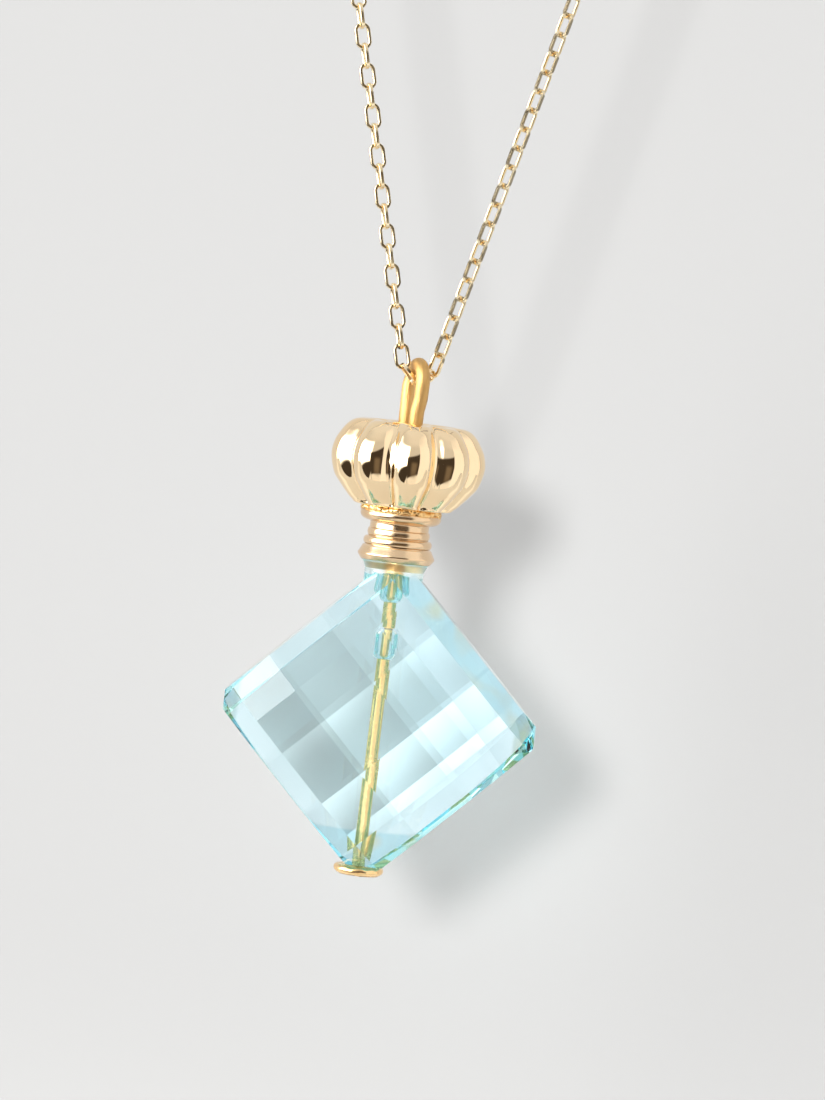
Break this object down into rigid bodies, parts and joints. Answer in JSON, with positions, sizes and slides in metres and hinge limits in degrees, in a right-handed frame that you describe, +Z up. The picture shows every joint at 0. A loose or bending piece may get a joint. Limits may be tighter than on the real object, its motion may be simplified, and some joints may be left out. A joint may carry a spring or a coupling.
{
  "type": "bottle pendant necklace",
  "caption": "Square clear stone hung by its corner under a turned collar and a lobed crown, on one pin whose bail hangs from a fine cable-chain necklace.",
  "frame": {"origin": "middle of the clasp at the top of the chain's loop, where the necklace hangs at the nape", "axes": "+Z up along the hanging necklace, +X to the wearer's left (the right of the picture), the stone's front face towards -Y"},
  "size_m": [0.0734, 0.0097, 0.2168],
  "materials": {
    "chain_gold": "polished champagne-yellow gold, cut flat on the links' sides",
    "satin_gold": "satin yellow gold with fine rubbing marks along the wire",
    "pale_gold": "mirror-polished pale champagne-rose gold",
    "clear_blue_stone": "clear pale sky-blue stone with polished flat facets"
  },
  "bodies": {
    "neck_chain": {"chain": "chain_gold", "clasp": "chain_gold"},
    "pendant": {"bail_pin": "satin_gold", "crown": "pale_gold", "collar": "pale_gold", "stone": "clear_blue_stone"}
  },
  "joints": [
    {"name": "pendant_swing", "type": "hinge", "parent": "neck_chain", "child": "pendant", "pos_m": [0, 0, -0.18476], "axis": [0.9511, 0.309, 0], "range_deg": [-110, 110]}
  ]
}
